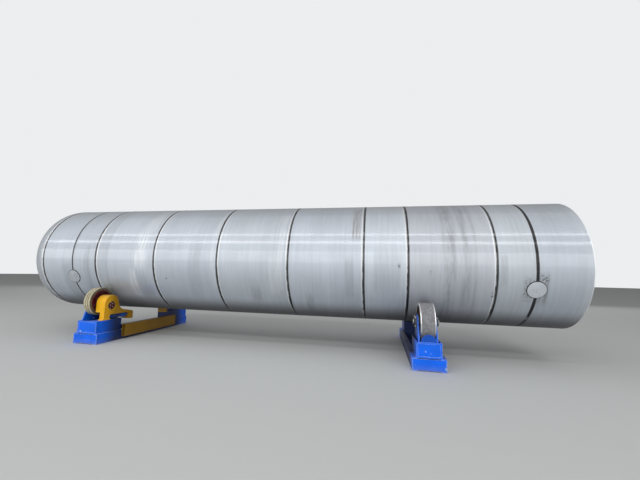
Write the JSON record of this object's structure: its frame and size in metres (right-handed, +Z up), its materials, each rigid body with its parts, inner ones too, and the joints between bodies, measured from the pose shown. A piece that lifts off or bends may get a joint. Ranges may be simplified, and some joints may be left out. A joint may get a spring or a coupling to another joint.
{
  "type": "horizontal pressure tank on turning rolls",
  "caption": "Long horizontal stainless pressure vessel shell with one dished head and one open end, lying on driven and idler turning rolls that rotate it.",
  "frame": {"origin": "on the floor, below the middle of the object's whole length and width", "axes": "+X along the vessel towards its open end, +Y towards the far side, +Z up"},
  "size_m": [12.0212, 3.022, 3.1454],
  "materials": {
    "stainless_plate": "pickled and brushed plate",
    "weld_bead": "rippled weld bead",
    "blue_paint": "gloss paint, scuffed",
    "yellow_paint": "gloss paint, oily dirt",
    "maroon_paint": "dull paint",
    "wheel_steel": "worn bright at the rims",
    "cast_housing": "painted casting",
    "drive_tyre": "dusty polyurethane",
    "idler_tyre": "worn polyurethane",
    "axle_steel": "turned"
  },
  "bodies": {
    "stands": {"channels_drive": "blue_paint", "channels_idler": "blue_paint", "ties_drive": "blue_paint", "ties_idler": "blue_paint", "seat_drive_near": "blue_paint", "seat_drive_far": "blue_paint", "seat_idler_near": "blue_paint", "seat_idler_far": "blue_paint", "bearings_drive": "cast_housing", "bearings_idler": "cast_housing", "guard_near": "blue_paint", "guard_far": "blue_paint", "gearbox_near": "yellow_paint", "gearbox_far": "yellow_paint", "motor_near": "blue_paint", "motor_far": "blue_paint", "cross_beam": "yellow_paint"},
    "vessel": {"dished_head": "stainless_plate", "course_1": "stainless_plate", "course_2": "stainless_plate", "course_3": "stainless_plate", "course_4": "stainless_plate", "course_5": "stainless_plate", "course_6": "stainless_plate", "course_7": "stainless_plate", "course_8": "stainless_plate", "course_9": "stainless_plate", "course_10": "stainless_plate", "ring_left": "weld_bead", "ring_right": "weld_bead", "support_pads": "stainless_plate", "girth_welds": "weld_bead", "lengthwise_welds": "weld_bead"},
    "roll_drive_near": {"wheel_drive_near": "maroon_paint", "tyre_drive_near": "drive_tyre", "axle_drive_near": "axle_steel"},
    "roll_drive_far": {"wheel_drive_far": "maroon_paint", "tyre_drive_far": "drive_tyre", "axle_drive_far": "axle_steel"},
    "roll_idler_near": {"wheel_idler_near": "wheel_steel", "tyre_idler_near": "idler_tyre", "axle_idler_near": "axle_steel"},
    "roll_idler_far": {"wheel_idler_far": "wheel_steel", "tyre_idler_far": "idler_tyre", "axle_idler_far": "axle_steel"}
  },
  "joints": [
    {"name": "vessel_turn", "type": "hinge", "parent": "stands", "child": "vessel", "pos_m": [0, 0, 1.88286], "axis": [1, 0, 0], "continuous": true},
    {"name": "roll_drive_near_turn", "type": "hinge", "parent": "stands", "child": "roll_drive_near", "pos_m": [-3.68936, -1.18, 0.86201], "axis": [1, 0, 0], "continuous": true},
    {"name": "roll_drive_far_turn", "type": "hinge", "parent": "stands", "child": "roll_drive_far", "pos_m": [-3.68936, 1.18, 0.86201], "axis": [1, 0, 0], "continuous": true},
    {"name": "roll_idler_near_turn", "type": "hinge", "parent": "stands", "child": "roll_idler_near", "pos_m": [3.33064, -1.15, 0.77], "axis": [1, 0, 0], "continuous": true},
    {"name": "roll_idler_far_turn", "type": "hinge", "parent": "stands", "child": "roll_idler_far", "pos_m": [3.33064, 1.15, 0.77], "axis": [1, 0, 0], "continuous": true}
  ],
  "couplings": [
    {"joint": "roll_drive_near_turn", "follows": "vessel_turn", "ratio": -4.2},
    {"joint": "roll_drive_far_turn", "follows": "vessel_turn", "ratio": -4.2},
    {"joint": "roll_idler_near_turn", "follows": "vessel_turn", "ratio": -3.7059},
    {"joint": "roll_idler_far_turn", "follows": "vessel_turn", "ratio": -3.7059}
  ]
}
